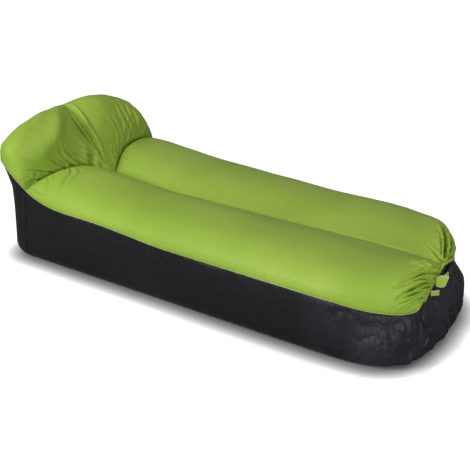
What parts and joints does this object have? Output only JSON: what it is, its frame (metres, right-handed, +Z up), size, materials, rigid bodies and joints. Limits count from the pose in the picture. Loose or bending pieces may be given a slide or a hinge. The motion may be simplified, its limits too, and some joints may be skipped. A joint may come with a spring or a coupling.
{
  "type": "inflatable air lounger",
  "caption": "Inflatable air lounger: long air tubes side by side, green top with a raised pillow, black underside, rolled mouth with a side-release buckle at the foot.",
  "frame": {"origin": "middle of the footprint of the overall box, on the ground", "axes": "+Z up; +Y along the lounger, from the rolled mouth at the foot to the pillow; +X across, to the right of someone who stands at the foot and faces the pillow"},
  "size_m": [0.8624, 1.9306, 0.5764],
  "materials": {
    "green_fabric": "satin coated woven nylon",
    "black_fabric": "matte coated woven nylon",
    "black_webbing": "woven webbing",
    "film": "thin polyethylene film",
    "buckle_plastic": "moulded acetal",
    "strip_plastic": "flexible extruded strip"
  },
  "bodies": {
    "shell": {"left_seat_panel": "green_fabric", "right_seat_panel": "green_fabric", "left_pillow_panel": "green_fabric", "right_pillow_panel": "green_fabric", "base_panel": "black_fabric", "foot_end_panel": "black_fabric", "head_end_panel": "black_fabric", "centre_divider": "black_fabric", "left_air_bladder": "film", "right_air_bladder": "film", "mouth_roll": "green_fabric", "left_mouth_strip": "strip_plastic", "right_mouth_strip": "strip_plastic", "buckle_socket": "buckle_plastic", "left_closure_strap": "green_fabric", "right_closure_strap": "black_webbing"},
    "plug": {"buckle_plug": "buckle_plastic"},
    "upper_prong": {"upper_buckle_prong": "buckle_plastic"},
    "lower_prong": {"lower_buckle_prong": "buckle_plastic"},
    "tab": {"pull_tab": "green_fabric"},
    "tail": {"strap_tail": "green_fabric"}
  },
  "joints": [
    {"name": "plug_release_slide", "type": "slide", "parent": "shell", "child": "plug", "axis": [0.9824, 0.1867, 0], "range_m": [0, 0.022], "deforming": ["right_closure_strap"]},
    {"name": "upper_prong_press", "type": "hinge", "parent": "plug", "child": "upper_prong", "pos_m": [0.03975, -0.91066, 0.268], "axis": [0.1867, -0.9824, 0], "range_deg": [0, 7], "stiffness_Nm_per_rad": 0.2},
    {"name": "lower_prong_press", "type": "hinge", "parent": "plug", "child": "lower_prong", "pos_m": [0.03975, -0.91066, 0.252], "axis": [-0.1867, 0.9824, 0], "range_deg": [0, 7], "stiffness_Nm_per_rad": 0.2},
    {"name": "pull_tab_swing", "type": "hinge", "parent": "shell", "child": "tab", "pos_m": [-0.08708, -0.9227, 0.26943], "axis": [0, 0, 1], "range_deg": [-45, 15]},
    {"name": "strap_tail_swing", "type": "hinge", "parent": "shell", "child": "tail", "pos_m": [-0.13325, -0.93055, 0.24245], "axis": [0, 0, 1], "range_deg": [-40, 12]}
  ],
  "couplings": [
    {"joint": "lower_prong_press", "follows": "upper_prong_press", "ratio": 1}
  ]
}
